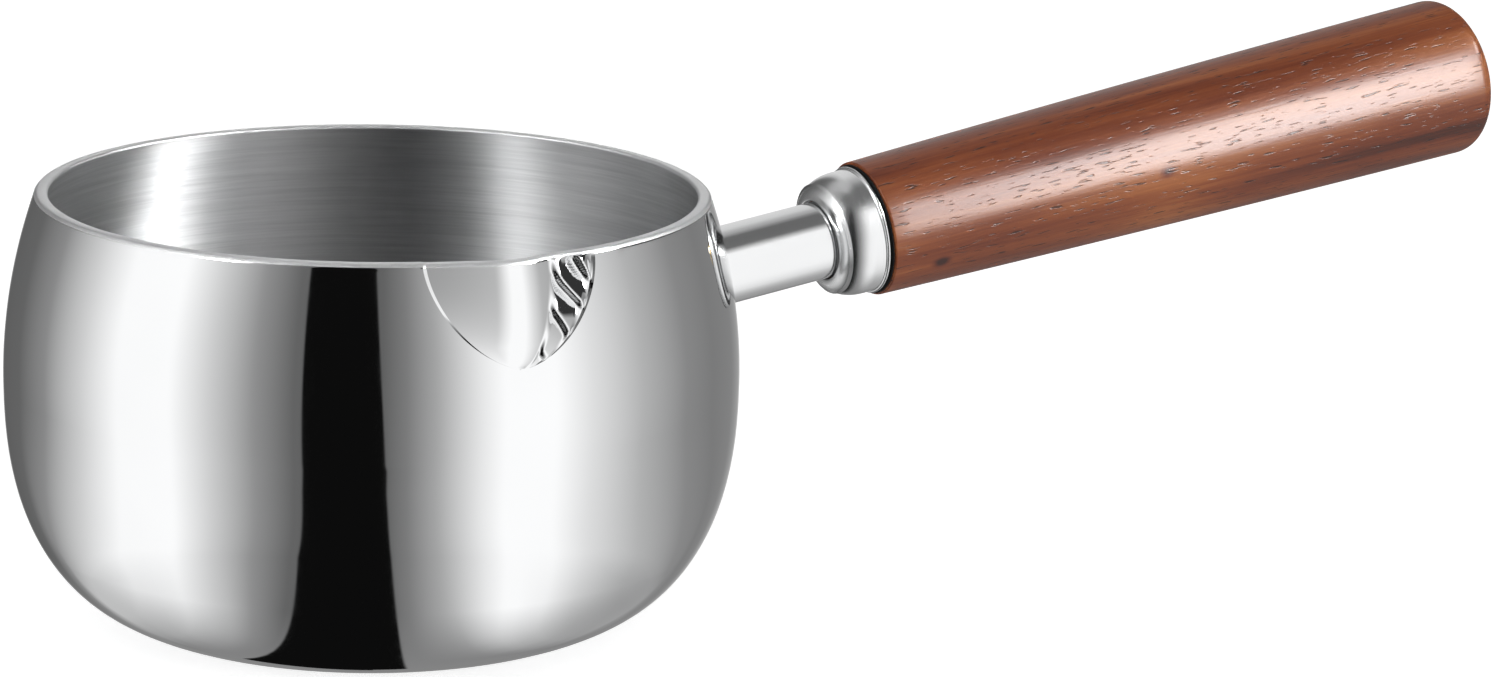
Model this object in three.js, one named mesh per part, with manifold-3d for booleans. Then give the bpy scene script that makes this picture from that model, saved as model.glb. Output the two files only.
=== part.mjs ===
// A butter warmer: a small bellied steel pot with a pressed pouring lip and a turned wooden handle.
// Millimetres, +Z up. The origin is the centre of the flat base, the handle points along +X and the lip along -Y.
import * as THREE from 'three';
import { mergeVertices } from 'three/addons/utils/BufferGeometryUtils.js';
import Module from 'manifold-3d';

const wasm = await Module();
wasm.setup();

// Bowl
const rimRadius = 50;
const bellyRadius = 55;
const bellyHeight = 36;
const baseRadius = 30;
const bowlHeight = 64.2;
const bellyFullness = 2.35; // power of the curve from the base up to the belly: 2 is an ellipse
const wall = 1.8;

// Pouring lip, pressed outward through the wall
const lipProjection = 2.2; // past the rim circle
const lipWidth = 26.2; // between the two creases, at the rim
const lipDepth = 14.5; // from the rim down to the foot of the crease
const lipRidgeRadius = 51.5; // of the arch that the ridge follows from foot to rim

// Handle, measured along its own axis from the outside of the bowl
const handleDrop = 17.3; // from the rim down to where the axis meets the wall
const handleTilt = 9; // degrees above level
const tubeRadius = 6.15;
const tubeWall = 1;
const tubeShown = 21.4; // from the bowl to the ferrule
const tubeSpigot = 2.2; // further into the ferrule
const weldLeg = 1.7;

const ferruleLength = 7.4;
const ferruleRadius = 9.9;
const ferruleWall = 1;
const ferruleHoleClearance = 0.5; // round the tube
const ferruleShoulder = 5.2; // length of the rounded front
const ferruleBead = 0.35; // height of the rolled rear edge

const sealThickness = 0.5;
const sealLip = 0.55; // how far the ring shows past the ferrule

const gripLength = 114.6;
const gripFrontRadius = 10.8;
const gripRearRadius = 13.2;
const gripCrown = 0.2; // swell between the ends
const gripFrontEdge = 0.3;
const gripEndFillet = 2.8;

// Clamp inside the handle
const boltRadius = 2.5;
const boltHeadAcrossFlats = 8;
const boltHeadHeight = 3.5;
const boltPastInsert = 3;
const plugLength = 5;
const plugFlange = 1.2;
const springWasherRadius = 4.6;
const springWasherThickness = 1.2;
const springWasherSlit = 0.8;
const flatWasherRadius = 5.4;
const flatWasherThickness = 1;
const insertRadius = 3.7;
const insertLength = 14;
const pilotPastBolt = 2;

// Fits
const seatGap = 0.25; // between pieces that touch
const threadGap = 0.25; // round the bolt

// Facets
const bowlSegments = 72;
const bellySteps = 10;
const shoulderSteps = 6;
const lipSegments = 80;
const lipSteps = 7;
const turnedSegments = 40;
const smallSegments = 32;
const arcSteps = 4;

// Where the handle meets the bowl, and stations along it
const handleHeight = bowlHeight - handleDrop;
const ferruleEnd = tubeShown + ferruleLength;
const sealStart = ferruleEnd + seatGap;
const gripStart = sealStart + sealThickness + seatGap;
const gripEnd = gripStart + gripLength;
const tubeEnd = tubeShown + tubeSpigot;
const tenonStart = tubeShown + ferruleWall + seatGap;
const flangeStart = tubeEnd + seatGap;
const flangeEnd = flangeStart + plugFlange;
const springWasherStart = flangeEnd + seatGap;
const flatWasherStart = springWasherStart + springWasherThickness + seatGap;
const counterboreEnd = flatWasherStart + flatWasherThickness + seatGap;
const insertStart = counterboreEnd + seatGap;
const insertEnd = insertStart + insertLength;
const plugStart = flangeStart - plugLength;
const boltHeadStart = plugStart - seatGap - boltHeadHeight;
const boltEnd = insertEnd + boltPastInsert;

// Radii that follow from the sizes above
const tubeBore = tubeRadius - tubeWall;
const tenonRadius = ferruleRadius - ferruleWall - seatGap;
const counterboreRadius = Math.max(tubeRadius, flatWasherRadius) + seatGap;
const boltClearRadius = boltRadius + threadGap;

const polishedSteel = new THREE.MeshStandardMaterial({ color: 0xd8dadc, metalness: 1, roughness: 0.06 });
const satinSteel = new THREE.MeshStandardMaterial({ color: 0xc9cbcc, metalness: 1, roughness: 0.22 });
const plainSteel = new THREE.MeshStandardMaterial({ color: 0x9b9da0, metalness: 1, roughness: 0.4 });
const brass = new THREE.MeshStandardMaterial({ color: 0xc9a24a, metalness: 1, roughness: 0.35 });
const blackRubber = new THREE.MeshStandardMaterial({ color: 0x17120f, metalness: 0, roughness: 0.7 });
const redBrownWood = new THREE.MeshStandardMaterial({ color: 0x8c4a2f, metalness: 0, roughness: 0.45 });

const point = (radius, along) => new THREE.Vector2(radius, along);

// Profiles run up the outside and down the inside, from axis to axis or closed on themselves.
function turned(profile, segments) {
  return new THREE.LatheGeometry(profile, segments);
}

function ring(innerRadius, outerRadius, start, end, segments = smallSegments) {
  const corners = [
    point(innerRadius, start), point(outerRadius, start), point(outerRadius, end), point(innerRadius, end),
  ];
  return turned([...corners, corners[0]], segments);
}

function rod(radius, start, end, segments = smallSegments) {
  return turned([point(0, start), point(radius, start), point(radius, end), point(0, end)], segments);
}

// A quarter of an ellipse about a centre, from one angle to another in degrees.
function arc(centre, radiusOut, radiusAlong, from, to, steps = arcSteps) {
  return Array.from({ length: steps + 1 }, (_, i) => {
    const angle = THREE.MathUtils.degToRad(THREE.MathUtils.lerp(from, to, i / steps));
    return point(centre.x + radiusOut * Math.cos(angle), centre.y + radiusAlong * Math.sin(angle));
  });
}

function solid(geometry, matrix = new THREE.Matrix4()) {
  const bare = geometry.clone().applyMatrix4(matrix);
  bare.deleteAttribute('normal');
  bare.deleteAttribute('uv');
  const merged = mergeVertices(bare, 1e-4);
  const index = merged.index.array;
  const triangles = [];
  for (let i = 0; i < index.length; i += 3) {
    const [a, b, c] = index.slice(i, i + 3);
    if (a !== b && b !== c && c !== a) {
      triangles.push(a, b, c);
    }
  }
  return new wasm.Manifold(new wasm.Mesh({
    numProp: 3,
    vertProperties: new Float32Array(merged.attributes.position.array),
    triVerts: new Uint32Array(triangles),
  }));
}

function piece(name, body, material) {
  const { vertProperties, triVerts } = body.getMesh();
  const geometry = new THREE.BufferGeometry();
  geometry.setAttribute('position', new THREE.BufferAttribute(new Float32Array(vertProperties), 3));
  geometry.setIndex(new THREE.BufferAttribute(new Uint32Array(triVerts), 1));
  geometry.computeVertexNormals();
  const mesh = new THREE.Mesh(geometry, material);
  mesh.name = name;
  return mesh;
}

// Lathes turn about Y: these put that axis upright, or along the handle.
const upright = new THREE.Matrix4().makeRotationX(Math.PI / 2);
const alongHandle = new THREE.Matrix4().makeRotationZ(-Math.PI / 2);
const handlePiece = (geometry) => solid(geometry, alongHandle);

// Outside radius of the bowl at a height between the belly and the rim
function shoulderRadius(height) {
  const rise = (height - bellyHeight) / (bowlHeight - bellyHeight);
  return bellyRadius - (bellyRadius - rimRadius) * rise ** 2;
}

// Outside of the bowl from the edge of the flat base to the rim
function bowlProfile() {
  const power = 2 / bellyFullness;
  const points = [];
  for (let i = 0; i < bellySteps; i++) {
    const angle = (Math.PI / 2) * (1 - i / bellySteps);
    const out = (bellyRadius - baseRadius) * Math.cos(angle) ** power;
    const down = bellyHeight * Math.sin(angle) ** power;
    points.push(point(baseRadius + (i ? out : 0), bellyHeight - down));
  }
  for (let i = 0; i <= shoulderSteps; i++) {
    const height = THREE.MathUtils.lerp(bellyHeight, bowlHeight, i / shoulderSteps);
    points.push(point(shoulderRadius(height), height));
  }
  return points;
}

// The profile moved square to itself, inward when the distance is positive, and run on past the rim
function offsetBowlProfile(distance) {
  const outer = bowlProfile();
  const moved = outer.map((p, i) => {
    const before = outer[Math.max(i - 1, 0)];
    const after = outer[Math.min(i + 1, outer.length - 1)];
    const along = i ? after.clone().sub(before).normalize() : point(1, 0);
    return point(p.x - along.y * distance, p.y + along.x * distance);
  });
  const last = moved.at(-1);
  const slope = last.clone().sub(moved.at(-2)).normalize();
  return [...moved, last.clone().addScaledVector(slope, 2 * wall)];
}

function turnedBowl(profile) {
  const closed = [point(0, profile[0].y), ...profile, point(0, profile.at(-1).y)];
  return solid(turned(closed, bowlSegments), upright);
}

// The lip is part of an upright barrel whose ridge is an arch from the crease's foot to the rim.
function lipBarrel(inset, top) {
  const foot = point(shoulderRadius(bowlHeight - lipDepth), bowlHeight - lipDepth);
  const tip = point(rimRadius + lipProjection, bowlHeight);
  const chord = tip.clone().sub(foot);
  const toCentre = Math.sqrt(lipRidgeRadius ** 2 - chord.lengthSq() / 4);
  const across = point(-chord.y, chord.x).normalize();
  const centre = foot.clone().add(tip).multiplyScalar(0.5).addScaledVector(across, toCentre);
  const ridge = (height) => centre.x + Math.sqrt(lipRidgeRadius ** 2 - (height - centre.y) ** 2);

  const halfWidth = lipWidth / 2;
  const bulge = tip.x - Math.sqrt(rimRadius ** 2 - halfWidth ** 2);
  const barrelRadius = (bulge ** 2 + halfWidth ** 2) / (2 * bulge);
  const barrelAxis = tip.x - barrelRadius;

  const start = foot.y - lipDepth / 2;
  const side = Array.from({ length: lipSteps + 1 }, (_, i) => {
    const height = THREE.MathUtils.lerp(start, bowlHeight, i / lipSteps);
    return point(ridge(height) - barrelAxis - inset, height);
  });
  const last = side.at(-1);
  const crown = top > bowlHeight ? [point(last.x, top)] : [];
  const profile = [point(0, start), ...side, ...crown, point(0, top)];
  const place = new THREE.Matrix4().makeTranslation(0, -barrelAxis, 0).multiply(upright);
  return solid(turned(profile, lipSegments), place);
}

function bowl() {
  const aboveRim = bowlHeight + 2 * wall;
  const outside = turnedBowl(bowlProfile()).add(lipBarrel(0, bowlHeight));
  const inside = turnedBowl(offsetBowlProfile(wall)).add(lipBarrel(wall, aboveRim));
  return piece('bowl', outside.subtract(inside), polishedSteel);
}

function handle() {
  const group = new THREE.Group();
  group.position.set(shoulderRadius(handleHeight), 0, handleHeight);
  group.rotation.y = -THREE.MathUtils.degToRad(handleTilt);
  group.updateMatrix();

  // The bowl, grown by the seat gap and seen from the handle, shapes the foot of the tube and its weld.
  const bowlSeat = turnedBowl(offsetBowlProfile(-seatGap)).transform(group.matrix.clone().invert().elements);
  const buried = -2 * weldLeg;

  const tube = handlePiece(ring(tubeBore, tubeRadius, buried, tubeEnd, turnedSegments)).subtract(bowlSeat);
  group.add(piece('handle_tube', tube, satinSteel));

  const weldInner = tubeRadius + seatGap;
  const weldFace = arc(point(weldInner + weldLeg, weldLeg + seatGap), weldLeg, weldLeg, 270, 180);
  const weldProfile = [point(weldInner, buried), point(weldInner + weldLeg, buried), ...weldFace];
  const weld = handlePiece(turned([...weldProfile, weldProfile[0]], turnedSegments)).subtract(bowlSeat);
  group.add(piece('weld_bead', weld, polishedSteel));

  group.add(piece('tube_plug', handlePiece(plugShape()), plainSteel));
  group.add(piece('clamp_bolt', clampBolt(), plainSteel));
  group.add(piece('spring_washer', springWasher(), plainSteel));
  const flatWasherEnd = flatWasherStart + flatWasherThickness;
  const flatWasher = handlePiece(ring(boltClearRadius, flatWasherRadius, flatWasherStart, flatWasherEnd));
  group.add(piece('flat_washer', flatWasher, plainSteel));
  const insert = handlePiece(ring(boltClearRadius, insertRadius, insertStart, insertEnd));
  group.add(piece('threaded_insert', insert, brass));
  group.add(piece('ferrule', handlePiece(ferruleShape()), polishedSteel));
  const sealInner = tenonRadius + seatGap;
  const sealOuter = ferruleRadius + sealLip;
  const seal = ring(sealInner, sealOuter, sealStart, sealStart + sealThickness, turnedSegments);
  group.add(piece('seal_ring', handlePiece(seal), blackRubber));
  group.add(piece('grip', handlePiece(gripShape()), redBrownWood));
  return group;
}

// A plug with a flange that seats on the end of the tube
function plugShape() {
  const body = tubeBore - seatGap;
  const profile = [
    point(boltClearRadius, plugStart), point(body, plugStart), point(body, flangeStart),
    point(tubeRadius, flangeStart), point(tubeRadius, flangeEnd), point(boltClearRadius, flangeEnd),
  ];
  return turned([...profile, profile[0]], smallSegments);
}

// Its head is held in the tube behind the plug, and the grip screws onto its shank.
function clampBolt() {
  const corner = boltHeadAcrossFlats / Math.sqrt(3);
  const head = handlePiece(rod(corner, boltHeadStart, boltHeadStart + boltHeadHeight, 6));
  const shank = handlePiece(rod(boltRadius, boltHeadStart + boltHeadHeight / 2, boltEnd));
  return head.add(shank);
}

function springWasher() {
  const end = springWasherStart + springWasherThickness;
  const full = handlePiece(ring(boltClearRadius, springWasherRadius, springWasherStart, end));
  const slit = new THREE.BoxGeometry(4 * springWasherThickness, springWasherRadius, springWasherSlit);
  const middle = (springWasherStart + end) / 2;
  const skew = new THREE.Matrix4().makeRotationY(Math.PI / 9);
  const place = new THREE.Matrix4().makeTranslation(middle, boltRadius + springWasherRadius / 2, 0);
  return full.subtract(solid(slit, place.multiply(skew)));
}

// A spun cap over the wood's tenon: a rounded front with a hole for the tube, and a rolled rear edge
function ferruleShape() {
  const hole = tubeRadius + ferruleHoleClearance;
  const bore = tenonRadius + seatGap;
  const front = tubeShown;
  const edge = ferruleWall / 4;
  const shoulderRise = ferruleRadius - hole - edge;
  const shoulderCentre = point(hole + edge, front + ferruleShoulder);
  const beadCentre = point(ferruleRadius, ferruleEnd - ferruleBead);
  const profile = [
    point(hole, front + edge),
    ...arc(shoulderCentre, shoulderRise, ferruleShoulder, 270, 360, 2 * arcSteps),
    ...arc(beadCentre, ferruleBead, ferruleBead, -90, 90),
    point(bore, ferruleEnd),
    point(bore, front + ferruleWall),
    point(hole, front + ferruleWall),
  ];
  return turned([...profile, profile[0]], turnedSegments);
}

// A turned taper with a slight swell, a tenon for the ferrule and a stepped bore for the clamp
function gripShape() {
  const skin = (station) => {
    const share = (station - gripStart) / gripLength;
    const taper = THREE.MathUtils.lerp(gripFrontRadius, gripRearRadius, share);
    return taper + 4 * gripCrown * share * (1 - share);
  };
  const insertHole = insertRadius + seatGap;
  const pilotEnd = boltEnd + pilotPastBolt;
  const bore = [
    point(0, pilotEnd), point(boltClearRadius, pilotEnd), point(boltClearRadius, insertEnd + seatGap),
    point(insertHole, insertEnd + seatGap), point(insertHole, counterboreEnd),
    point(counterboreRadius, counterboreEnd), point(counterboreRadius, tenonStart),
  ];
  const tenon = [point(tenonRadius, tenonStart), point(tenonRadius, gripStart)];
  const frontCentre = point(skin(gripStart + gripFrontEdge) - gripFrontEdge, gripStart + gripFrontEdge);
  const front = arc(frontCentre, gripFrontEdge, gripFrontEdge, 270, 360, 3);
  const shaftStart = gripStart + gripFrontEdge;
  const shaftEnd = gripEnd - gripEndFillet;
  const shaft = Array.from({ length: arcSteps }, (_, i) => {
    const station = THREE.MathUtils.lerp(shaftStart, shaftEnd, (i + 1) / (arcSteps + 1));
    return point(skin(station), station);
  });
  const endCentre = point(skin(shaftEnd) - gripEndFillet, shaftEnd);
  const end = [...arc(endCentre, gripEndFillet, gripEndFillet, 0, 90), point(0, gripEnd)];
  return turned([...bore, ...tenon, ...front, ...shaft, ...end], turnedSegments);
}

const butterWarmer = new THREE.Group();
butterWarmer.add(bowl(), handle());

export default butterWarmer;
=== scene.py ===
import math

import bpy
from mathutils import Matrix, Vector


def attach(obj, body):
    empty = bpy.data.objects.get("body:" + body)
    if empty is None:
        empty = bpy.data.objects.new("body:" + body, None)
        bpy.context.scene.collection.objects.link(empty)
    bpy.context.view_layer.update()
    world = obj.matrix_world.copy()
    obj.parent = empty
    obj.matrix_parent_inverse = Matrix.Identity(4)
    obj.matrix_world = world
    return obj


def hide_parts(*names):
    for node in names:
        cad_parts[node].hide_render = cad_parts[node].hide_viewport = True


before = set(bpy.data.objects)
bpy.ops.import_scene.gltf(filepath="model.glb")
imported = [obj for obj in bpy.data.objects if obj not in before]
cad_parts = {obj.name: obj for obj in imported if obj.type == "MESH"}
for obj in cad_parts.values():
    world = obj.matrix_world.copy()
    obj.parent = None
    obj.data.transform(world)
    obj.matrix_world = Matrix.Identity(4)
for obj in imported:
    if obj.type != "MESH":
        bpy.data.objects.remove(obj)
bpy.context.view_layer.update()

# Sizes of the part, in millimetres; its source has a plainer lip, a thinner weld and a wider ferrule hole
MM = 0.001
RIM_RADIUS = 50.0
BELLY_RADIUS = 55.0
BELLY_HEIGHT = 36.0
BASE_RADIUS = 30.0
BOWL_HEIGHT = 64.2
BELLY_FULLNESS = 2.35
WALL = 1.8
RIM_EDGE = 0.45

# Lip: what it stands out, sinks or rounds is in millimetres, and widths, fades and falls are shares
LIP_PROJECTION = 1.8
LIP_HALF_ANGLE = math.radians(15.2)
LIP_DEPTH = 14.8
LIP_BORDER_POWERS = (1.6, 0.62)
LIP_STEP = 0.36
LIP_STEP_WIDTH = 0.035
LIP_RIDGE_ROUND = 1.8
LIP_FLANK_SLOPE = 0.34
LIP_SINK = 0.4
LIP_PLEATS = 1.9
LIP_PLEAT_LEAN = 1.4
LIP_PLEAT_HEIGHT = 1.6
LIP_PLEAT_FALL = 0.84
LIP_PLEAT_FADES = (0.2, 0.25)
LIP_PLEAT_SWING = 0.05
LIP_PLEAT_SWINGS = 8
LIP_RIM_FADE = 0.08

HANDLE_DROP = 17.3
HANDLE_TILT = math.radians(9)
TUBE_RADIUS = 6.15
TUBE_WALL = 1.0
TUBE_SHOWN = 21.4
TUBE_SPIGOT = 2.2
WELD_LEG = 2.4
WELD_FILL = 0.6

FERRULE_LENGTH = 7.4
FERRULE_RADIUS = 9.9
FERRULE_WALL = 1.0
FERRULE_HOLE_CLEARANCE = 0.2
FERRULE_SHOULDER = 5.2
FERRULE_BEAD = 0.35

SEAL_THICKNESS = 0.5
SEAL_LIP = 0.55
SEAT_GAP = 0.25

GRIP_LENGTH = 114.6
GRIP_FRONT_RADIUS = 10.8
GRIP_REAR_RADIUS = 13.2
GRIP_CROWN = 0.2
GRIP_FRONT_EDGE = 0.3
GRIP_END_FILLET = 2.8
GRIP_BORE_DEPTH = 5

# Marks in the wood: millimetres along the grip and degrees round it, then a width or a length and width
KNOTS = [(8.5, 210, 1.6), (50, 179, 1.5)]
LIGHT_PATCH = (50, 214, 46, 18)

# Colour of the polished steel
STEEL = (0.82, 0.825, 0.83, 1)

# Camera, as fitted to the photograph's 1500 by 677 frame
IMAGE_SIZE = (1500, 677)
CAMERA_AZIMUTH = math.radians(-22.7)
CAMERA_ELEVATION = math.radians(14.76)
CAMERA_DISTANCE = 0.640
CAMERA_ROLL = math.radians(0.24)
CAMERA_TARGET = Vector((0, 0, 0.033))
TARGET_PIXEL = (374.3, 393.1)
FOCAL_PIXELS = 4231.0
SENSOR_WIDTH = 36.0

# Studio
TENT_RADIUS = 4.0
TENT_CENTRE = Vector((0, 0, 0.033))
SOFTBOX_DISTANCE = 1.6
SOFTBOX_RADIANCE = 8.0
STRIP_RADIANCE = 40.0
AMBIENT = 0.5
FLOOR_HALF = 3.0
FLOOR_TONE = 0.75
FLOOR_GLOW = 0.66

# Lamps: azimuth and width, then lower and upper elevation, in degrees
RIGHT_SOFTBOX = (48, 18, -20, 26)
LEFT_SOFTBOX = (-74, 16, -20, 26)
HANDLE_STRIP = (57, 14, -4, 38)

# What the walls of the light tent show, by azimuth from the camera: degrees and tone
TENT_BANDS = [
    (-180, 215), (-174, 190), (-166, 90), (-160, 90), (-140, 98), (-120, 136), (-100, 205),
    (-84, 250), (-64, 252), (-50, 203), (-36, 142), (-24, 99), (3, 98), (10, 124), (19, 166),
    (33, 232), (40, 252), (57, 252), (70, 222), (90, 178), (112, 135), (130, 121), (150, 126),
    (164, 150), (172, 200), (180, 215),
]
TENT_CEILING = [(-180, 185), (-110, 170), (-60, 110), (60, 105), (140, 105), (165, 170), (180, 185)]
CEILING_EDGE = (44, 60)
BLACK_FLAG = (-21.4, 2.5)
FLAG_LEAN = 4.2
FLAG_SOFTNESS = 0.3
FLAG_TONE = 12
GROUND_TONE = 128
GROUND_EDGE = (0.42, 0.78)

# Patches of the tent: degrees where each begins, is full, starts to fade and ends, round it and up it
DARK_CORNER = (88, 95, 150, 160)
DARK_CORNER_EDGES = (13, 16, 62, 68)
DARK_CORNER_TONE = 50
HIGH_BOX_RIGHT = (71, 80, 93, 97)
HIGH_BOX_LEFT = (-66, -60, -52, -46)
HIGH_EDGES = (27, 29, 40, 42)
HIGH_RADIANCE = (34.0, 18.0)
LOW_SHADE = (45, 100, 181, 182)
LOW_SHADE_EDGES = (-90, -88, -60, -35)
LOW_SHADE_TONE = 60
LOW_SHADE_SHARE = 0.6

# Where the bands bend below the horizon: azimuth in degrees, then shares of the radius
BEND_SIDES = (22, 60)
BEND_SIDE_SHARE = 0.45
BEND_HEIGHTS = (-0.25, -0.6)
BEND_FRONTS = (-0.9, -0.7)

# Facets
TURN_STEPS = 128
BELLY_STEPS = 26
SHOULDER_STEPS = 14
LIP_STEPS = 72
INNER_LIP_STEPS = 40
FLOOR_RINGS = 6
CORNER_STEPS = 4
LIP_COLUMNS = 48
LIP_NARROWEST = 0.04
SIDE_STEP = math.radians(2.5)
SIDE_GROWTH = 1.25


def mix(a, b, share):
    return a + (b - a) * share


def smooth_step(share):
    share = min(max(share, 0), 1)
    return share * share * (3 - 2 * share)


def linear(tone):
    """Scene brightness of a grey that shows as tone, from 0 to 255."""
    share = tone / 255
    return share / 12.92 if share < 0.04045 else ((share + 0.055) / 1.055) ** 2.4


def shown(tone):
    """What a light needs for its reflection in the steel to show as tone."""
    return linear(tone) / STEEL[0]


# Bowl

def shoulder_radius(height):
    rise = (height - BELLY_HEIGHT) / (BOWL_HEIGHT - BELLY_HEIGHT)
    return BELLY_RADIUS - (BELLY_RADIUS - RIM_RADIUS) * rise ** 2


def outer_radius(height):
    if height >= BELLY_HEIGHT:
        return shoulder_radius(height)
    drop = (BELLY_HEIGHT - height) / BELLY_HEIGHT
    share = max(1 - drop ** BELLY_FULLNESS, 0) ** (1 / BELLY_FULLNESS)
    return BASE_RADIUS + (BELLY_RADIUS - BASE_RADIUS) * share


def bowl_profile(belly_steps, shoulder_steps, lip_steps):
    """(radius, height) up the outside, from the edge of the base to the rim's edge."""
    power = 2 / BELLY_FULLNESS
    points = []
    for i in range(belly_steps):
        angle = math.pi / 2 * (1 - i / belly_steps)
        out = (BELLY_RADIUS - BASE_RADIUS) * max(math.cos(angle), 0) ** power
        points.append((BASE_RADIUS + out, BELLY_HEIGHT * (1 - math.sin(angle) ** power)))
    lip_start = BOWL_HEIGHT - LIP_DEPTH - 1
    for i in range(shoulder_steps):
        height = mix(BELLY_HEIGHT, lip_start, i / shoulder_steps)
        points.append((shoulder_radius(height), height))
    for i in range(lip_steps + 1):
        height = mix(lip_start, BOWL_HEIGHT - RIM_EDGE, i / lip_steps)
        points.append((shoulder_radius(height), height))
    return points


def inset(profile, distance):
    """The profile moved square to itself, towards the inside."""
    moved = []
    for i, (radius, height) in enumerate(profile):
        before = profile[max(i - 1, 0)]
        after = profile[min(i + 1, len(profile) - 1)]
        along = Vector((after[0] - before[0], after[1] - before[1])).normalized()
        if i == 0:
            along = Vector((1, 0))
        moved.append((radius - along.y * distance, height + along.x * distance))
    return moved


def lip_border(depth):
    """Half of the lip's angle, at a depth below the rim as a share of the lip's own."""
    bend, foot = LIP_BORDER_POWERS
    return LIP_HALF_ANGLE * (1 - min(depth, 1) ** bend) ** foot


def pleat(turns):
    """A saw wave from -0.5 to 0.5, with long faces that fall and short ones that rise."""
    share = turns % 1
    if share < LIP_PLEAT_FALL:
        return 0.5 - share / LIP_PLEAT_FALL
    return smooth_step((share - LIP_PLEAT_FALL) / (1 - LIP_PLEAT_FALL)) - 0.5


def lip_height(angle, height):
    """How far the lip stands out: a facet, a rounded ridge, a flank, and past a crease a pleated dent."""
    depth = (BOWL_HEIGHT - height) / LIP_DEPTH
    border = lip_border(depth)
    if abs(angle) >= border:
        return 0.0
    across = angle / border
    edge = min((1 - abs(across)) / LIP_STEP_WIDTH, 1)
    swell = LIP_PROJECTION * border / LIP_HALF_ANGLE
    crease = LIP_PROJECTION / (LIP_FLANK_SLOPE * LIP_HALF_ANGLE * RIM_RADIUS)
    facet = LIP_STEP + (swell - LIP_STEP) * (1 + across) ** 2
    flank = swell * (1 - across / crease)
    rounding = min(LIP_RIDGE_ROUND, 2 * swell)
    near = max(rounding - abs(facet - flank), 0) / rounding
    roof = max(min(facet, flank) - near * near * rounding / 4, 0)
    past = max(across - crease, 0) / (1 - crease)
    swing = LIP_PLEAT_SWING * math.sin(LIP_PLEAT_SWINGS * depth)
    run = LIP_PLEAT_LEAN * angle / LIP_HALF_ANGLE - depth + swing
    start, end = LIP_PLEAT_FADES
    fold = LIP_PLEAT_HEIGHT * smooth_step(past / start) * smooth_step((1 - past) / end)
    sunk = LIP_SINK * past - fold * pleat(LIP_PLEATS * run)
    return edge * (roof - sunk * math.sqrt(1 - depth) * smooth_step(depth / LIP_RIM_FADE))


def wall_radius(angle, radius, height):
    return radius + lip_height(angle, height)


def bowl_columns():
    """Angles round the bowl at its rim, closer at the lip, with two on each step of its border."""
    half = [LIP_HALF_ANGLE * i / LIP_COLUMNS for i in range(LIP_COLUMNS)]
    half += [LIP_HALF_ANGLE * (1 - LIP_STEP_WIDTH), LIP_HALF_ANGLE]
    angle = LIP_HALF_ANGLE
    step = LIP_HALF_ANGLE / LIP_COLUMNS
    while angle + SIDE_STEP < math.pi:
        step = min(step * SIDE_GROWTH, SIDE_STEP)
        angle += step
        half.append(angle)
    half = sorted(half)
    return [-a for a in reversed(half[1:])] + half


def column_angle(base, height):
    """Draws the columns together towards the foot of the lip, so that its border follows two of them."""
    depth = (BOWL_HEIGHT - height) / LIP_DEPTH
    border = max(lip_border(depth), LIP_HALF_ANGLE * LIP_NARROWEST)
    border = mix(border, LIP_HALF_ANGLE, smooth_step(depth - 1))
    reach = 3 * LIP_HALF_ANGLE
    size = abs(base)
    if size <= LIP_HALF_ANGLE:
        size *= border / LIP_HALF_ANGLE
    elif size < reach:
        size = mix(border, reach, (size - LIP_HALF_ANGLE) / (reach - LIP_HALF_ANGLE))
    return math.copysign(size, base)


def skin(name, rings, slots, materials, closed=False):
    """A mesh through rings of points; a ring of one point is a pole; slots has a material per band."""
    points = []
    starts = []
    for ring in rings:
        starts.append(len(points))
        points.extend(ring)
    faces = []
    indices = []
    pairs = list(zip(range(len(rings)), range(1, len(rings))))
    if closed:
        pairs.append((len(rings) - 1, 0))
    for band, (a, b) in enumerate(pairs):
        count = max(len(rings[a]), len(rings[b]))
        for j in range(count):
            k = (j + 1) % count
            low = [starts[a] + j, starts[a] + k] if len(rings[a]) > 1 else [starts[a]]
            high = [starts[b] + k, starts[b] + j] if len(rings[b]) > 1 else [starts[b]]
            faces.append(low + high)
            indices.append(slots[band])
    mesh = bpy.data.meshes.new(name)
    mesh.from_pydata([p * MM for p in points], [], faces)
    for material in materials:
        mesh.materials.append(material)
    mesh.polygons.foreach_set("material_index", indices)
    mesh.polygons.foreach_set("use_smooth", [True] * len(faces))
    mesh.update()
    piece = bpy.data.objects.new(name, mesh)
    bpy.context.scene.collection.objects.link(piece)
    return piece


def around(columns, radius_at, height):
    angles = [column_angle(c, height) for c in columns]
    return [Vector((radius_at(a) * math.sin(a), -radius_at(a) * math.cos(a), height)) for a in angles]


def sharpen(mesh, width, sharp_columns, first, last):
    """Keeps an edge along some columns of a mesh of rings that starts at a pole, between two rings."""
    pairs = set()
    for ring in range(first, last):
        for column in sharp_columns:
            low = 1 + (ring - 1) * width + column
            pairs.add((low, low + width))
    for line in mesh.edges:
        if tuple(sorted(line.vertices)) in pairs:
            line.use_edge_sharp = True


def shoulder_normal(place):
    span = BOWL_HEIGHT - BELLY_HEIGHT
    lean = 2 * (BELLY_RADIUS - RIM_RADIUS) * (place.z - BELLY_HEIGHT) / span ** 2
    out = Vector((place.x, place.y, 0)).normalized()
    return (out + Vector((0, 0, lean))).normalized()


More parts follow.
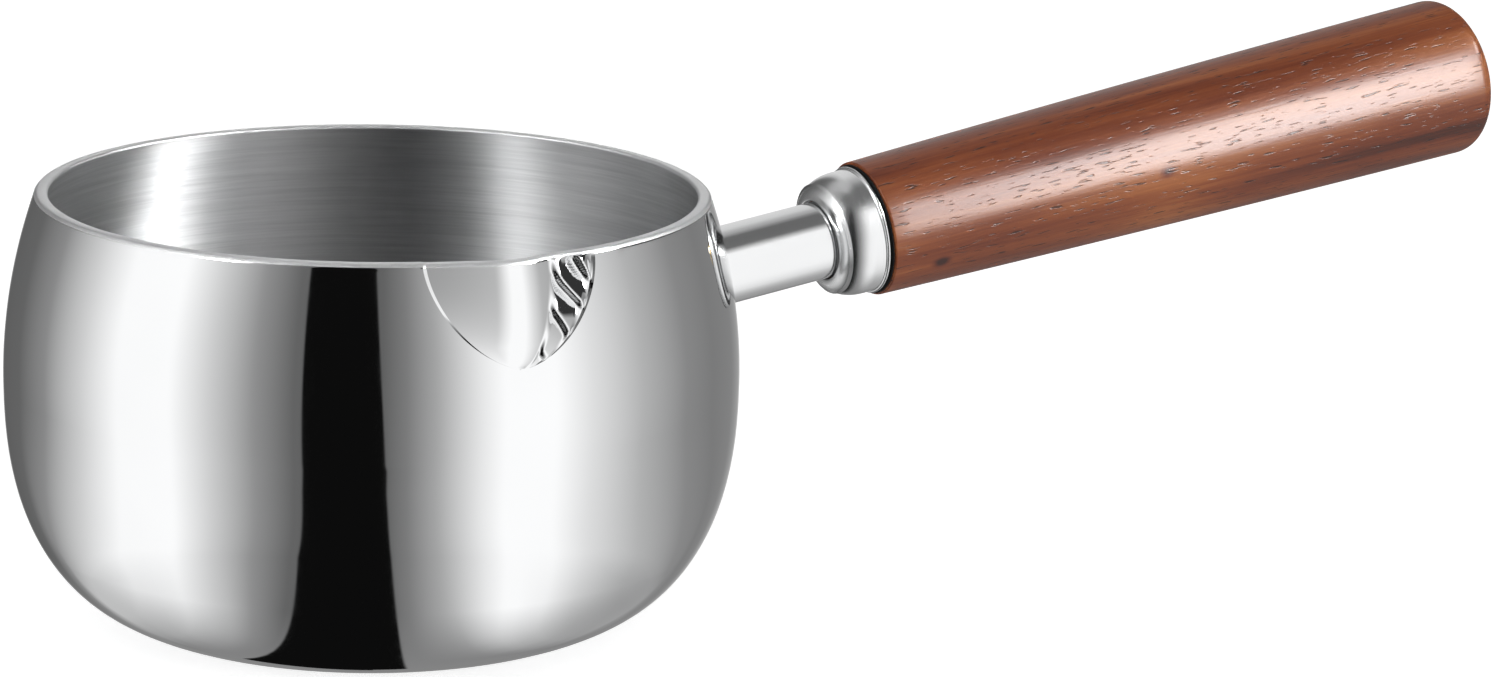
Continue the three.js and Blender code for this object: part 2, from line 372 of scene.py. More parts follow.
def shade_shoulder(mesh):
    """Shades the shoulder by its formula, because columns that follow the lip cross it unevenly."""
    normals = [corner.vector.copy() for corner in mesh.corner_normals]
    for face in mesh.polygons:
        x, y, z = face.center / MM
        on_wall = BELLY_HEIGHT < z < BOWL_HEIGHT - RIM_EDGE
        if not on_wall or abs(math.hypot(x, y) - shoulder_radius(z)) > WALL / 2:
            continue
        if abs(math.atan2(x, -y)) < lip_border((BOWL_HEIGHT - z) / LIP_DEPTH):
            continue
        for corner in face.loop_indices:
            place = mesh.vertices[mesh.loops[corner].vertex_index].co / MM
            if BELLY_HEIGHT < place.z < BOWL_HEIGHT - 2 * RIM_EDGE:
                normals[corner] = shoulder_normal(place)
    mesh.normals_split_custom_set(normals)


def make_bowl(outside, inside, rim):
    columns = bowl_columns()
    outer = bowl_profile(BELLY_STEPS, SHOULDER_STEPS, LIP_STEPS)
    inner = inset(bowl_profile(BELLY_STEPS, SHOULDER_STEPS, INNER_LIP_STEPS), WALL)
    inner = [p for p in inner if p[1] < BOWL_HEIGHT - 2 * RIM_EDGE]
    inner_top = inner[-1]
    slope = Vector(inner_top) - Vector(inner[-2])
    inner_rim = inner_top[0] + slope.x / slope.y * (BOWL_HEIGHT - inner_top[1])

    rings = [[Vector((0, 0, 0))]]
    slots = []

    def add(ring, slot):
        rings.append(ring)
        slots.append(slot)

    def out_at(a):
        return wall_radius(a, RIM_RADIUS, BOWL_HEIGHT)

    def in_at(a):
        return wall_radius(a, inner_rim, BOWL_HEIGHT)

    for i in range(1, FLOOR_RINGS):
        add(around(columns, lambda a: BASE_RADIUS * i / FLOOR_RINGS, 0), 0)
    lip_foot = len(rings) + sum(height < BOWL_HEIGHT - LIP_DEPTH for _, height in outer)
    for radius, height in outer:
        add(around(columns, lambda a: wall_radius(a, radius, height), height), 0)
    lip_top = len(rings) - 1
    for i in range(1, CORNER_STEPS + 1):
        turn = math.pi / 2 * i / CORNER_STEPS
        height = BOWL_HEIGHT - RIM_EDGE * (1 - math.sin(turn))
        add(around(columns, lambda a: out_at(a) - RIM_EDGE * (1 - math.cos(turn)), height), 2)
    for i in range(CORNER_STEPS + 1):
        turn = math.pi / 2 * i / CORNER_STEPS
        height = BOWL_HEIGHT - RIM_EDGE * (1 - math.cos(turn))
        add(around(columns, lambda a: in_at(a) + RIM_EDGE * (1 - math.sin(turn)), height), 2)
    for radius, height in reversed(inner):
        add(around(columns, lambda a: wall_radius(a, radius, height), height), 1)
    for i in range(FLOOR_RINGS - 1, 0, -1):
        add(around(columns, lambda a: inner[0][0] * i / FLOOR_RINGS, WALL), 1)
    add([Vector((0, 0, WALL))], 1)
    bowl = skin("bowl_shell", rings, slots, [outside, inside, rim])
    step_start = LIP_HALF_ANGLE * (1 - LIP_STEP_WIDTH)
    steps = [i for i, c in enumerate(columns) if step_start <= abs(c) <= LIP_HALF_ANGLE]
    sharpen(bowl.data, len(columns), steps, lip_foot, lip_top)
    shade_shoulder(bowl.data)
    return bowl


# Handle

HANDLE_ROOT = Vector((shoulder_radius(BOWL_HEIGHT - HANDLE_DROP), 0, BOWL_HEIGHT - HANDLE_DROP))
HANDLE_ALONG = Vector((math.cos(HANDLE_TILT), 0, math.sin(HANDLE_TILT)))
HANDLE_SIDE = Vector((0, 1, 0))
HANDLE_UP = HANDLE_ALONG.cross(HANDLE_SIDE)
FERRULE_END = TUBE_SHOWN + FERRULE_LENGTH + SEAT_GAP
GRIP_START = FERRULE_END + SEAL_THICKNESS
GRIP_END = GRIP_START + SEAT_GAP + GRIP_LENGTH
TENON_RADIUS = FERRULE_RADIUS - FERRULE_WALL - SEAT_GAP


def handle_point(along, radius, turn):
    out = HANDLE_SIDE * math.cos(turn) + HANDLE_UP * math.sin(turn)
    return HANDLE_ROOT + HANDLE_ALONG * along + out * radius


def turns():
    return [2 * math.pi * i / TURN_STEPS for i in range(TURN_STEPS)]


def on_bowl(radius, turn):
    """Where a line along the handle, at a radius from its axis, meets the outside of the bowl."""
    low, high = -12.0, 6.0
    for _ in range(40):
        middle = (low + high) / 2
        p = handle_point(middle, radius, turn)
        if math.hypot(p.x, p.y) < outer_radius(p.z):
            low = middle
        else:
            high = middle
    return high


def turned(name, profile, material, closed=True):
    """A piece turned about the handle's axis from (station, radius) points."""
    rings = []
    for along, radius in profile:
        stops = turns() if radius else [0]
        rings.append([handle_point(along, radius, t) for t in stops])
    bands = len(profile) if closed else len(profile) - 1
    return skin(name, rings, [0] * bands, [material], closed)


def arc(centre_along, centre_radius, along, radius, start, end, steps):
    """Points of an ellipse's arc as (station, radius), with angles in degrees from rearward."""
    points = []
    for i in range(steps + 1):
        angle = math.radians(mix(start, end, i / steps))
        points.append((centre_along + along * math.cos(angle), centre_radius + radius * math.sin(angle)))
    return points


def make_tube(material):
    """The tube, whose foot follows the wall of the bowl."""
    bore = TUBE_RADIUS - TUBE_WALL
    end = TUBE_SHOWN + TUBE_SPIGOT
    edge = 0.25
    stations = 10
    rings = []
    for i in range(stations):
        ring = []
        for t in turns():
            along = mix(on_bowl(TUBE_RADIUS, t), end - edge, i / (stations - 1))
            ring.append(handle_point(along, TUBE_RADIUS, t))
        rings.append(ring)
    rings.append([handle_point(end, TUBE_RADIUS - edge, t) for t in turns()])
    rings.append([handle_point(end, bore, t) for t in turns()])
    rings.append([handle_point(on_bowl(bore, t), bore, t) for t in turns()])
    return skin("tube_skin", rings, [0] * len(rings), [material], closed=True)


def make_weld(material):
    """A dressed fillet between the wall of the bowl and the tube."""
    steps = 8
    rings = []
    for i in range(steps + 1):
        share = i / steps
        ring = []
        for t in turns():
            corner = handle_point(on_bowl(TUBE_RADIUS, t), TUBE_RADIUS, t)
            on_wall = handle_point(on_bowl(TUBE_RADIUS + WELD_LEG, t), TUBE_RADIUS + WELD_LEG, t)
            on_tube = handle_point(on_bowl(TUBE_RADIUS, t) + WELD_LEG, TUBE_RADIUS, t)
            middle = corner.lerp((on_wall + on_tube) / 2, WELD_FILL)
            ends = on_wall * (1 - share) ** 2 + on_tube * share ** 2
            ring.append(ends + middle * 2 * share * (1 - share))
        rings.append(ring)
    sunk = 0.05
    rings.append([handle_point(on_bowl(TUBE_RADIUS, t), TUBE_RADIUS - sunk, t) for t in turns()])
    return skin("weld_fillet", rings, [0] * len(rings), [material], closed=True)


def make_ferrule(material):
    hole = TUBE_RADIUS + FERRULE_HOLE_CLEARANCE
    bore = TENON_RADIUS + SEAT_GAP
    edge = FERRULE_WALL / 4
    rise = FERRULE_RADIUS - hole - edge
    shoulder = arc(TUBE_SHOWN + FERRULE_SHOULDER, hole + edge, -FERRULE_SHOULDER, rise, 0, 90, 24)
    bead = arc(FERRULE_END - FERRULE_BEAD, FERRULE_RADIUS, FERRULE_BEAD, FERRULE_BEAD, 180, 0, 10)
    groove = FERRULE_END - 2.6 * FERRULE_BEAD
    mouth = arc(TUBE_SHOWN + edge, hole + edge, -edge, -edge, 90, 0, 5)
    inner = [
        (FERRULE_END, bore),
        (TUBE_SHOWN + FERRULE_WALL, bore),
        (TUBE_SHOWN + FERRULE_WALL, hole),
    ]
    profile = mouth + shoulder[1:] + [(groove, FERRULE_RADIUS)] + bead + inner
    return turned("ferrule_cap", profile, material)


def make_seal(material):
    inner = TENON_RADIUS + SEAT_GAP
    outer = FERRULE_RADIUS + SEAL_LIP
    half = SEAL_THICKNESS / 2
    rim = arc(FERRULE_END + half, outer - half, half, half, 180, 0, 6)
    return turned("seal_washer", [(FERRULE_END, inner)] + rim + [(GRIP_START, inner)], material)


def grip_radius(station):
    share = (station - GRIP_START) / GRIP_LENGTH
    return mix(GRIP_FRONT_RADIUS, GRIP_REAR_RADIUS, share) + 4 * GRIP_CROWN * share * (1 - share)


def make_grip(material):
    """The turned wood, with its tenon and the mouth of its bore."""
    bore = TUBE_RADIUS + SEAT_GAP
    tenon_start = TUBE_SHOWN + FERRULE_WALL + SEAT_GAP
    bore_end = tenon_start + GRIP_BORE_DEPTH
    shaft_start = GRIP_START + GRIP_FRONT_EDGE
    shaft_end = GRIP_END - GRIP_END_FILLET
    front_radius = grip_radius(shaft_start) - GRIP_FRONT_EDGE
    end_radius = grip_radius(shaft_end) - GRIP_END_FILLET
    profile = [(bore_end, 0), (bore_end, bore), (tenon_start, bore), (tenon_start, TENON_RADIUS)]
    profile += [(GRIP_START, TENON_RADIUS)]
    profile += arc(shaft_start, front_radius, GRIP_FRONT_EDGE, GRIP_FRONT_EDGE, 180, 90, 6)
    shaft_steps = 40
    for i in range(1, shaft_steps):
        station = mix(shaft_start, shaft_end, i / shaft_steps)
        profile.append((station, grip_radius(station)))
    profile += arc(shaft_end, end_radius, GRIP_END_FILLET, GRIP_END_FILLET, 90, 0, 12)
    face_steps = 5
    for i in range(1, face_steps):
        profile.append((GRIP_END, end_radius * (1 - i / face_steps)))
    profile.append((GRIP_END, 0))
    return turned("grip_wood", profile, material, closed=False)


# Materials

class Nodes:
    """Short ways to add and join the nodes of one material."""

    def __init__(self, name):
        self.material = bpy.data.materials.new(name)
        self.material.use_nodes = True
        self.tree = self.material.node_tree
        self.shader = self.tree.nodes["Principled BSDF"]

    def add(self, kind, **settings):
        node = self.tree.nodes.new(kind)
        for key, value in settings.items():
            setattr(node, key, value)
        return node

    def join(self, source, target):
        self.tree.links.new(source, target)

    def math(self, operation, a, b=None):
        node = self.add("ShaderNodeMath", operation=operation)
        for socket, value in zip(node.inputs, (a, b)):
            if value is None:
                continue
            if isinstance(value, (int, float)):
                socket.default_value = value
            else:
                self.join(value, socket)
        return node.outputs[0]

    def noise(self, vector, scale, detail=2.0, roughness=0.5, distortion=0.0):
        node = self.add("ShaderNodeTexNoise")
        node.inputs["Scale"].default_value = scale
        node.inputs["Detail"].default_value = detail
        node.inputs["Roughness"].default_value = roughness
        node.inputs["Distortion"].default_value = distortion
        self.join(vector, node.inputs["Vector"])
        return node.outputs["Fac"]

    def ramp(self, value, stops):
        node = self.add("ShaderNodeValToRGB")
        elements = node.color_ramp.elements
        while len(elements) < len(stops):
            elements.new(0.5)
        for element, (position, color) in zip(elements, stops):
            element.position = position
            element.color = color if isinstance(color, tuple) else (color, color, color, 1)
        self.join(value, node.inputs["Fac"])
        return node.outputs["Color"]

    def range(self, value, low, high, to_low, to_high):
        node = self.add("ShaderNodeMapRange")
        keys = ("From Min", "From Max", "To Min", "To Max")
        for key, number in zip(keys, (low, high, to_low, to_high)):
            node.inputs[key].default_value = number
        self.join(value, node.inputs["Value"])
        return node.outputs["Result"]

    def stretched(self, scale, location=(0, 0, 0), rotation=(0, 0, 0)):
        """The part's own coordinates in metres, moved to a place, turned and then stretched."""
        coordinates = self.add("ShaderNodeTexCoord")
        place = self.add("ShaderNodeMapping", vector_type="TEXTURE")
        place.inputs["Location"].default_value = location
        place.inputs["Rotation"].default_value = rotation
        stretch = self.add("ShaderNodeMapping")
        stretch.inputs["Scale"].default_value = scale
        self.join(coordinates.outputs["Object"], place.inputs["Vector"])
        self.join(place.outputs["Vector"], stretch.inputs["Vector"])
        return stretch.outputs["Vector"]

    def bump(self, height, strength, distance):
        node = self.add("ShaderNodeBump")
        node.inputs["Strength"].default_value = strength
        node.inputs["Distance"].default_value = distance
        self.join(height, node.inputs["Height"])
        for socket in ("Normal", "Coat Normal"):
            self.join(node.outputs["Normal"], self.shader.inputs[socket])

    def set(self, **values):
        for key, value in values.items():
            self.shader.inputs[key.replace("_", " ")].default_value = value


def steel(name, tone, roughness_low, roughness_high, scale):
    """Polished steel whose roughness varies along fine marks."""
    n = Nodes(name)
    n.set(Metallic=1.0)
    marks = n.noise(n.stretched(scale), 1.0, 3.0)
    n.join(n.range(marks, 0.3, 0.7, roughness_low, roughness_high), n.shader.inputs["Roughness"])
    cloud = n.noise(n.stretched((40, 40, 40)), 1.0, 2.0)
    low = tuple(0.97 * c for c in tone[:3]) + (1,)
    n.join(n.ramp(cloud, [(0.3, low), (0.7, tone)]), n.shader.inputs["Base Color"])
    return n.material


def mirror_steel():
    return steel("mirror_steel", STEEL, 0.03, 0.055, (900, 900, 25))


def satin_steel():
    return steel("satin_steel", (0.78, 0.785, 0.79, 1), 0.1, 0.17, (20, 700, 700))


def cap_steel():
    return steel("polished_cap", (0.80, 0.805, 0.81, 1), 0.2, 0.28, (700, 60, 60))


def rim_steel():
    return steel("rim_steel", (0.80, 0.805, 0.81, 1), 0.42, 0.52, (300, 300, 300))


def brushed_steel():
    """Steel brushed round the bowl, with marks that stretch the highlights across them."""
    n = Nodes("brushed_steel")
    n.set(Metallic=1.0, Anisotropic=1.0, Anisotropic_Rotation=0.25)
    coordinates = n.add("ShaderNodeTexCoord")
    split = n.add("ShaderNodeSeparateXYZ")
    n.join(coordinates.outputs["Object"], split.inputs["Vector"])
    x, y, z = split.outputs
    radius = n.math("SQRT", n.math("ADD", n.math("MULTIPLY", x, x), n.math("MULTIPLY", y, y)))
    length = n.math("ADD", radius, z)

    def marks(along, across, detail):
        joined = n.add("ShaderNodeCombineXYZ")
        n.join(n.math("MULTIPLY", x, along), joined.inputs["X"])
        n.join(n.math("MULTIPLY", y, along), joined.inputs["Y"])
        n.join(n.math("MULTIPLY", length, across), joined.inputs["Z"])
        return n.noise(joined.outputs["Vector"], 1.0, detail, 0.6)

    fine = marks(55.0, 3000.0, 4.0)
    broad = marks(30.0, 800.0, 3.0)
    both = n.math("ADD", n.math("MULTIPLY", fine, 0.6), n.math("MULTIPLY", broad, 0.4))
    n.join(n.range(both, 0.3, 0.7, 0.42, 0.62), n.shader.inputs["Roughness"])
    color = n.ramp(both, [(0.32, (0.66, 0.665, 0.67, 1)), (0.62, (0.84, 0.845, 0.85, 1))])
    n.join(color, n.shader.inputs["Base Color"])
    tangent = n.add("ShaderNodeTangent", direction_type="RADIAL", axis="Z")
    n.join(tangent.outputs["Tangent"], n.shader.inputs["Tangent"])
    n.bump(both, 0.55, 0.00008)
    return n.material


def wood():
    """Oiled reddish hardwood: long streaks along the grip, darker bands, fine pores and a soft shine."""
    n = Nodes("oiled_wood")
    root = tuple(HANDLE_ROOT * MM)
    turn = (0, -HANDLE_TILT, 0)

    def grain(along, across):
        return n.stretched((along, across, across), root, turn)

    sway = n.noise(grain(9, 22), 1.0, 2.0)
    bands = n.noise(grain(5, 85), 1.0, 4.0, 0.55, 0.6)
    streaks = n.noise(grain(14, 420), 1.0, 5.0, 0.6, 0.4)
    fibres = n.noise(grain(60, 2400), 1.0, 3.0, 0.6)
    pores = n.noise(grain(330, 3000), 1.0, 1.0, 0.4)

    figure = n.math("ADD", n.math("MULTIPLY", bands, 0.78), n.math("MULTIPLY", streaks, 0.28))
    figure = n.math("ADD", figure, n.math("MULTIPLY", fibres, 0.14))
    figure = n.math("ADD", figure, n.math("MULTIPLY", sway, 0.17))

    def spot(along, turn_degrees, length, width):
        """One at a place on the grip, fading to nothing at a distance from it."""
        radius = mix(GRIP_FRONT_RADIUS, GRIP_REAR_RADIUS, along / GRIP_LENGTH)
        place = handle_point(GRIP_START + along, radius, math.radians(turn_degrees)) * MM
        ball = n.add("ShaderNodeTexGradient", gradient_type="QUADRATIC_SPHERE")
        stretch = (1000 / length, 1000 / width, 1000 / width)
        n.join(n.stretched(stretch, tuple(place), turn), ball.inputs["Vector"])
        return ball.outputs["Fac"]

    figure = n.math("ADD", figure, n.math("MULTIPLY", spot(*LIGHT_PATCH), 0.22))
    for along, side, size in KNOTS:
        figure = n.math("SUBTRACT", figure, n.math("MULTIPLY", spot(along, side, 1.6 * size, size), 0.5))
    color = n.ramp(figure, [
        (0.48, (0.040, 0.008, 0.003, 1)),
        (0.57, (0.100, 0.020, 0.007, 1)),
        (0.65, (0.180, 0.039, 0.012, 1)),
        (0.73, (0.255, 0.064, 0.018, 1)),
        (0.84, (0.400, 0.128, 0.036, 1)),
    ])
    dark = n.ramp(pores, [(0.28, 0.0), (0.36, 1.0)])
    shade = n.add("ShaderNodeMix", data_type="RGBA", blend_type="MULTIPLY")
    shade.inputs["Factor"].default_value = 0.72
    n.join(color, shade.inputs[6])
    n.join(dark, shade.inputs[7])
    n.join(shade.outputs[2], n.shader.inputs["Base Color"])
    n.join(n.range(streaks, 0.3, 0.7, 0.42, 0.56), n.shader.inputs["Roughness"])
    n.set(Coat_Weight=0.5, Coat_Roughness=0.27, Coat_IOR=1.5, Specular_IOR_Level=0.1)
    relief = n.math("ADD", n.math("MULTIPLY", dark, 0.7), n.math("MULTIPLY", fibres, 0.3))
    n.bump(relief, 0.5, 0.00012)
    return n.material


# A near-black finish for the ring between the ferrule and the wood, which gives the dark line at their
# joint
def near_black():
    n = Nodes("black_rubber")
    speckle = n.noise(n.stretched((2500, 2500, 2500)), 1.0, 3.0)
    n.join(n.ramp(speckle, [(0.3, 0.003), (0.7, 0.006)]), n.shader.inputs["Base Color"])
    n.join(n.range(speckle, 0.3, 0.7, 0.6, 0.75), n.shader.inputs["Roughness"])
    n.set(Specular_IOR_Level=0.15)
    n.bump(speckle, 0.2, 0.00005)
    return n.material


def zinc():
    return steel("zinc_plate", (0.56, 0.57, 0.58, 1), 0.28, 0.42, (300, 300, 300))


def turned_brass():
    return steel("turned_brass", (0.72, 0.53, 0.24, 1), 0.2, 0.34, (60, 900, 900))


# Studio

def turn_pair(first, second, angle):
    """Turns two directions that are square to each other, in their own plane."""
    c = math.cos(angle)
    s = math.sin(angle)
    return first * c - second * s, second * c + first * s


def make_camera():
    """The camera aims at the bowl, then turns so that the bowl falls on its pixel of the frame."""
    back = Vector((
        math.sin(CAMERA_AZIMUTH) * math.cos(CAMERA_ELEVATION),
        -math.cos(CAMERA_AZIMUTH) * math.cos(CAMERA_ELEVATION),
        math.sin(CAMERA_ELEVATION),
    ))
    ahead = -back
    right = ahead.cross(Vector((0, 0, 1))).normalized()
    up = right.cross(ahead)
    across = (TARGET_PIXEL[0] - IMAGE_SIZE[0] / 2) / FOCAL_PIXELS
    above = (IMAGE_SIZE[1] / 2 - TARGET_PIXEL[1]) / FOCAL_PIXELS
    yaw = math.atan(across)
    ahead, right = turn_pair(ahead, right, yaw)
    pitch = math.atan(above * math.cos(yaw))
    ahead, up = turn_pair(ahead, up, pitch)
    up, right = turn_pair(up, right, CAMERA_ROLL)

    data = bpy.data.cameras.new("camera")
    data.sensor_fit = "HORIZONTAL"
    data.sensor_width = SENSOR_WIDTH
    data.lens = FOCAL_PIXELS * SENSOR_WIDTH / IMAGE_SIZE[0]
    data.clip_start = 0.01
    camera = bpy.data.objects.new("camera", data)
    bpy.context.scene.collection.objects.link(camera)
    axes = Matrix((right, up, -ahead)).transposed().to_4x4()
    camera.matrix_world = Matrix.Translation(CAMERA_TARGET + back * CAMERA_DISTANCE) @ axes
    bpy.context.scene.camera = camera


def studio_direction(azimuth, elevation):
    """A direction from the object, with the azimuth in degrees to the right of the camera's side."""
    a = CAMERA_AZIMUTH + math.radians(azimuth)
    e = math.radians(elevation)
    return Vector((math.sin(a) * math.cos(e), -math.cos(a) * math.cos(e), math.sin(e)))


def make_softbox(name, place, radiance, shine_on=None):
    """A tall area lamp, placed in degrees round the object; given a piece, it only puts a shine on that."""
    azimuth, width, low, high = place
    middle = (low + high) / 2
    size_x = 2 * SOFTBOX_DISTANCE * math.tan(math.radians(width / 2))
    size_y = 2 * SOFTBOX_DISTANCE * math.tan(math.radians((high - low) / 2))
    data = bpy.data.lights.new(name, "AREA")
    data.shape = "RECTANGLE"
    data.size = size_x
    data.size_y = size_y
    data.energy = radiance * math.pi * size_x * size_y
    lamp = bpy.data.objects.new(name, data)
    direction = studio_direction(azimuth, middle)
    lamp.location = TENT_CENTRE + direction * SOFTBOX_DISTANCE
    lamp.rotation_euler = direction.to_track_quat("Z", "Y").to_euler()
    lamp.visible_camera = False
    lamp.visible_glossy = shine_on is not None
    bpy.context.scene.collection.objects.link(lamp)
    if shine_on:
        lamp.visible_diffuse = False
        receivers = bpy.data.collections.new(name + "_receivers")
        receivers.objects.link(shine_on)
        lamp.light_linking.receiver_collection = receivers


def tent_material():
    """Soft bands round the horizon, one black flag, a darker ceiling and a grey ground under the set."""
    n = Nodes("light_tent")
    n.tree.nodes.remove(n.shader)
    place = n.add("ShaderNodeNewGeometry")
    offset = n.add("ShaderNodeVectorMath", operation="SUBTRACT")
    offset.inputs[1].default_value = TENT_CENTRE
    n.join(place.outputs["Position"], offset.inputs[0])

    def part(direction):
        dot = n.add("ShaderNodeVectorMath", operation="DOT_PRODUCT")
        n.join(offset.outputs[0], dot.inputs[0])
        dot.inputs[1].default_value = direction
        return n.math("DIVIDE", dot.outputs["Value"], TENT_RADIUS)

    def by_azimuth(stops):
        return n.ramp(turn, [((a + 180) / 360, shown(t)) for a, t in stops])

    def between(angle, limits):
        low_out, low_in, high_in, high_out = limits
        rise = n.range(angle, low_out, low_in, 0.0, 1.0)
        return n.math("MULTIPLY", rise, n.range(angle, high_in, high_out, 1.0, 0.0))

    def patch(sides, edges, angle=None):
        """One where the azimuth and the elevation are inside their limits, in degrees."""
        heights = [math.sin(math.radians(e)) for e in edges]
        turns_in = between(angle or azimuth, [math.radians(a) for a in sides])
        return n.math("MULTIPLY", turns_in, between(up, heights))

    def over(below, top, share):
        node = n.add("ShaderNodeMix", data_type="RGBA")
        n.join(share, node.inputs["Factor"])
        n.join(below, node.inputs[6])
        if isinstance(top, (int, float)):
            node.inputs[7].default_value = (top, top, top, 1)
        else:
            n.join(top, node.inputs[7])
        return node.outputs[2]

    front = part(studio_direction(0, 0))
    right = part(studio_direction(90, 0))
    up = part((0, 0, 1))

    # Below the horizon the bands bend towards the front, so that they pass under the set
    plane = n.math("SQRT", n.math("ADD", n.math("MULTIPLY", front, front), n.math("MULTIPLY", up, up)))
    half_plane = n.math("MULTIPLY", plane, 0.5)
    folded = n.math("SQRT", n.math("MULTIPLY", half_plane, n.math("ADD", plane, front)))
    straight_azimuth = n.math("ARCTAN2", right, front)
    folded_azimuth = n.math("ARCTAN2", right, folded)
    sides = [math.radians(a) for a in BEND_SIDES]
    bend = n.range(n.math("ABSOLUTE", folded_azimuth), *sides, 1.0, BEND_SIDE_SHARE)
    bend = n.math("MULTIPLY", bend, n.range(up, *BEND_HEIGHTS, 0.0, 1.0))
    bend = n.math("MULTIPLY", bend, n.range(front, *BEND_FRONTS, 0.0, 1.0))
    change = n.math("MULTIPLY", bend, n.math("SUBTRACT", folded_azimuth, straight_azimuth))
    azimuth = n.math("ADD", straight_azimuth, change)
    turn = n.range(azimuth, -math.pi, math.pi, 0.0, 1.0)
    color = by_azimuth(TENT_BANDS)

    # The ground starts at one slope of the mirror that faces the camera
    lens_front, lens_up = math.cos(CAMERA_ELEVATION), math.sin(CAMERA_ELEVATION)
    facing = n.math("ADD", n.math("MULTIPLY", front, lens_front), n.math("MULTIPLY", up, lens_up))
    span = n.math("SQRT", n.math("MAXIMUM", n.math("ADD", n.math("MULTIPLY", facing, 2.0), 2.0), 0.0001))
    slope = n.math("DIVIDE", n.math("ADD", up, lens_up), span)
    color = over(color, shown(GROUND_TONE), n.range(slope, -GROUND_EDGE[0], -GROUND_EDGE[1], 0.0, 1.0))

    lean = n.math("ADD", azimuth, n.math("MULTIPLY", up, math.radians(FLAG_LEAN)))
    left, right_end = [math.radians(a) for a in BLACK_FLAG]
    soft = math.radians(FLAG_SOFTNESS)
    flag_left = n.range(azimuth, left - soft, left + soft, 0.0, 1.0)
    flag_right = n.range(lean, right_end - soft, right_end + soft, 1.0, 0.0)
    color = over(color, shown(FLAG_TONE), n.math("MULTIPLY", flag_left, flag_right))

    edge = [math.sin(math.radians(e)) for e in CEILING_EDGE]
    color = over(color, by_azimuth(TENT_CEILING), n.range(up, edge[0], edge[1], 0.0, 1.0))
    color = over(color, shown(DARK_CORNER_TONE), patch(DARK_CORNER, DARK_CORNER_EDGES))
    shade = patch(LOW_SHADE, LOW_SHADE_EDGES, n.math("ABSOLUTE", azimuth))
    color = over(color, shown(LOW_SHADE_TONE), n.math("MULTIPLY", shade, LOW_SHADE_SHARE))
    color = over(color, HIGH_RADIANCE[0], patch(HIGH_BOX_RIGHT, HIGH_EDGES))
    color = over(color, HIGH_RADIANCE[1], patch(HIGH_BOX_LEFT, HIGH_EDGES))
    glow = n.add("ShaderNodeEmission")
    n.join(color, glow.inputs["Color"])
    n.join(glow.outputs[0], n.tree.nodes["Material Output"].inputs["Surface"])
    return n.material


def make_tent():
    """A sphere round the set that only reflections see."""
    steps = 48
    mesh = bpy.data.meshes.new("light_tent")
    points = [Vector((0, 0, -TENT_RADIUS))]
    faces = []
    rows = steps // 2
    for i in range(1, rows):
        e = math.pi * (i / rows - 0.5)
        for j in range(steps):
            a = 2 * math.pi * j / steps
            level = Vector((math.cos(a), math.sin(a), 0)) * math.cos(e)
            points.append((level + Vector((0, 0, math.sin(e)))) * TENT_RADIUS)
    points.append(Vector((0, 0, TENT_RADIUS)))
    last = len(points) - 1
    for j in range(steps):
        k = (j + 1) % steps
        faces.append((0, 1 + j, 1 + k))
        for i in range(rows - 2):
            low, high = 1 + i * steps, 1 + (i + 1) * steps
            faces.append((low + j, high + j, high + k, low + k))
        top = 1 + (rows - 2) * steps
        faces.append((top + k, top + j, last))
    mesh.from_pydata([p + TENT_CENTRE for p in points], [], faces)
    mesh.materials.append(tent_material())
    tent = bpy.data.objects.new("light_tent", mesh)
    bpy.context.scene.collection.objects.link(tent)
    tent.visible_camera = False
    tent.visible_diffuse = False
    tent.visible_shadow = False


def seen_directly(tree):
    """One for what the camera sees, also in a mirror or through glass."""
    path = tree.nodes.new("ShaderNodeLightPath")
    seen = path.outputs["Is Camera Ray"]
    for name in ("Is Glossy Ray", "Is Transmission Ray"):
        either = tree.nodes.new("ShaderNodeMath")
        either.operation = "MAXIMUM"
        tree.links.new(seen, either.inputs[0])
        tree.links.new(path.outputs[name], either.inputs[1])
        seen = either.outputs[0]
    return seen


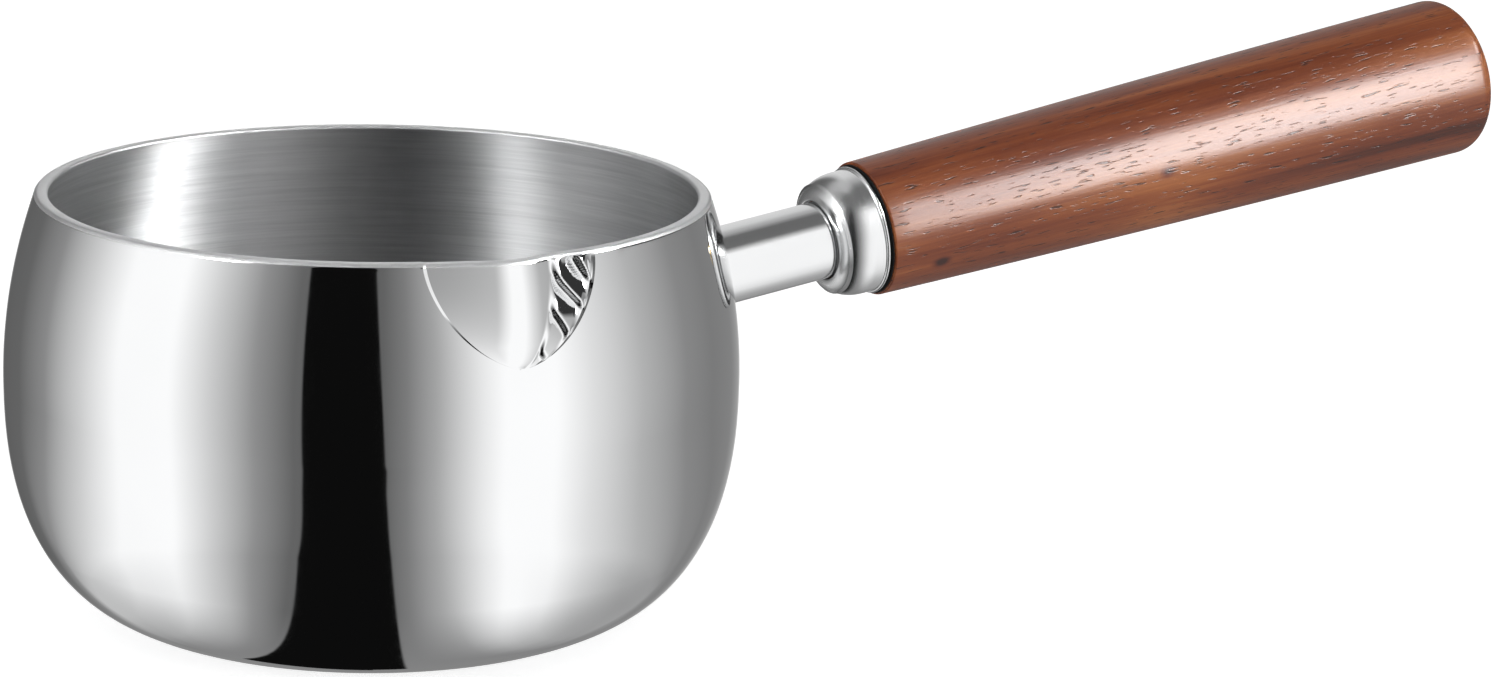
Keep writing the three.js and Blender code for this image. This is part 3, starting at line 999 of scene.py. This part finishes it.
def make_floor():
    """A pale floor that keeps the shadow and shows as white to the camera."""
    half = FLOOR_HALF
    mesh = bpy.data.meshes.new("floor")
    corners = [(-half, -half, 0), (half, -half, 0), (half, half, 0), (-half, half, 0)]
    mesh.from_pydata(corners, [], [(0, 1, 2, 3)])
    n = Nodes("pale_floor")
    n.set(Base_Color=(FLOOR_TONE, FLOOR_TONE, FLOOR_TONE, 1), Roughness=1.0, Specular_IOR_Level=0.0)
    n.join(seen_directly(n.tree), n.shader.inputs["Emission Strength"])
    n.set(Emission_Color=(FLOOR_GLOW, FLOOR_GLOW, FLOOR_GLOW, 1))
    mesh.materials.append(n.material)
    floor = bpy.data.objects.new("floor", mesh)
    bpy.context.scene.collection.objects.link(floor)
    floor.visible_glossy = False


def make_world():
    """White for what is seen and reflected, and a plain level for what is lit."""
    world = bpy.data.worlds.new("studio")
    bpy.context.scene.world = world
    world.use_nodes = True
    tree = world.node_tree
    background = tree.nodes["Background"]
    level = tree.nodes.new("ShaderNodeMapRange")
    level.inputs["To Min"].default_value = AMBIENT
    level.inputs["To Max"].default_value = 1.0
    tree.links.new(seen_directly(tree), level.inputs["Value"])
    tree.links.new(level.outputs["Result"], background.inputs["Strength"])
    background.inputs["Color"].default_value = (1, 1, 1, 1)


def dress(piece, node):
    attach(piece, "root")
    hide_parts(node)


def finish_node(node, material):
    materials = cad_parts[node].data.materials
    materials.clear()
    materials.append(material)


make_camera()

satin = satin_steel()
dress(make_bowl(mirror_steel(), brushed_steel(), rim_steel()), "bowl")
dress(make_weld(satin), "weld_bead")
dress(make_tube(satin), "handle_tube")
dress(make_ferrule(cap_steel()), "ferrule")
dress(make_seal(near_black()), "seal_ring")
grip = make_grip(wood())
grip.visible_glossy = False
dress(grip, "grip")

plated = zinc()
for hidden in ("tube_plug", "clamp_bolt", "spring_washer", "flat_washer"):
    finish_node(hidden, plated)
finish_node("threaded_insert", turned_brass())

make_tent()
make_softbox("right_softbox", RIGHT_SOFTBOX, SOFTBOX_RADIANCE)
make_softbox("left_softbox", LEFT_SOFTBOX, SOFTBOX_RADIANCE)
make_softbox("handle_strip", HANDLE_STRIP, STRIP_RADIANCE, grip)
make_floor()
make_world()
bpy.context.scene.view_settings.view_transform = "Standard"
